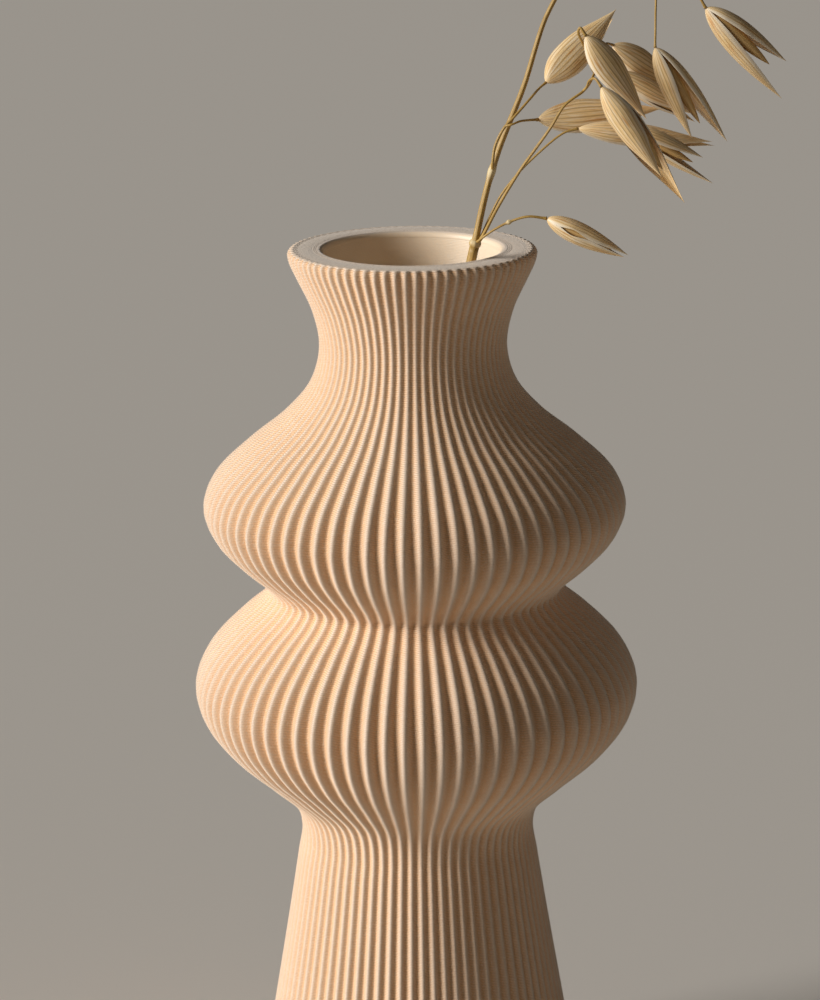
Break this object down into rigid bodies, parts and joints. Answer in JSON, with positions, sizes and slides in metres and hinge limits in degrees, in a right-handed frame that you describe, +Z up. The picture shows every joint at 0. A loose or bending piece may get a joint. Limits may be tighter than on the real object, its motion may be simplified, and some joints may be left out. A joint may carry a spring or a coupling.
{
  "type": "vase with a dried sprig",
  "caption": "Tall fluted vase with a flared foot, two stacked round bellies, a waisted neck and a flat rim, 3D printed in cream plastic, holding a nodding sprig of dried oats.",
  "frame": {"origin": "centre of the underside of the vase's foot", "axes": "+Z up along the vase's axis, -Y towards the front, +X towards the side that the sprig nods to"},
  "size_m": [0.1447, 0.1102, 0.301],
  "materials": {
    "printed_plastic": "matte cream plastic with fine printed layers",
    "straw": "dry straw, lightly polished, ridged along its length",
    "husk": "dry papery husk, striped along its length, slightly translucent",
    "grain": "dry golden brown grain"
  },
  "bodies": {
    "vase": {"vase_body": "printed_plastic"},
    "sprig": {"culm": "straw", "culm_node": "straw", "main_axis": "straw", "branch_left": "straw", "branch_long": "straw", "branch_thin": "straw", "pedicel_1": "straw", "pedicel_2": "straw", "pedicel_4": "straw", "pedicel_5": "straw", "pedicel_7": "straw", "pedicel_9": "straw", "pedicel_10": "straw", "spikelet_1_grain": "grain", "spikelet_1_lower_husk": "husk", "spikelet_1_upper_husk": "husk", "spikelet_2_grain": "grain", "spikelet_2_lower_husk": "husk", "spikelet_2_upper_husk": "husk", "spikelet_3_grain": "grain", "spikelet_3_lower_husk": "husk", "spikelet_3_upper_husk": "husk", "spikelet_4_grain": "grain", "spikelet_4_lower_husk": "husk", "spikelet_4_upper_husk": "husk", "spikelet_5_grain": "grain", "spikelet_5_lower_husk": "husk", "spikelet_5_upper_husk": "husk", "spikelet_6_grain": "grain", "spikelet_6_lower_husk": "husk", "spikelet_6_upper_husk": "husk", "spikelet_7_grain": "grain", "spikelet_7_lower_husk": "husk", "spikelet_7_upper_husk": "husk", "spikelet_8_grain": "grain", "spikelet_8_lower_husk": "husk", "spikelet_8_upper_husk": "husk", "spikelet_9_grain": "grain", "spikelet_9_lower_husk": "husk", "spikelet_9_upper_husk": "husk", "spikelet_10_grain": "grain", "spikelet_10_lower_husk": "husk", "spikelet_10_upper_husk": "husk", "spikelet_11_grain": "grain", "spikelet_11_lower_husk": "husk", "spikelet_11_upper_husk": "husk"}
  },
  "joints": [
    {"name": "sprig_lift", "type": "slide", "parent": "vase", "child": "sprig", "axis": [0.2169, -0.0638, 0.9741], "range_m": [0, 0.25]}
  ]
}
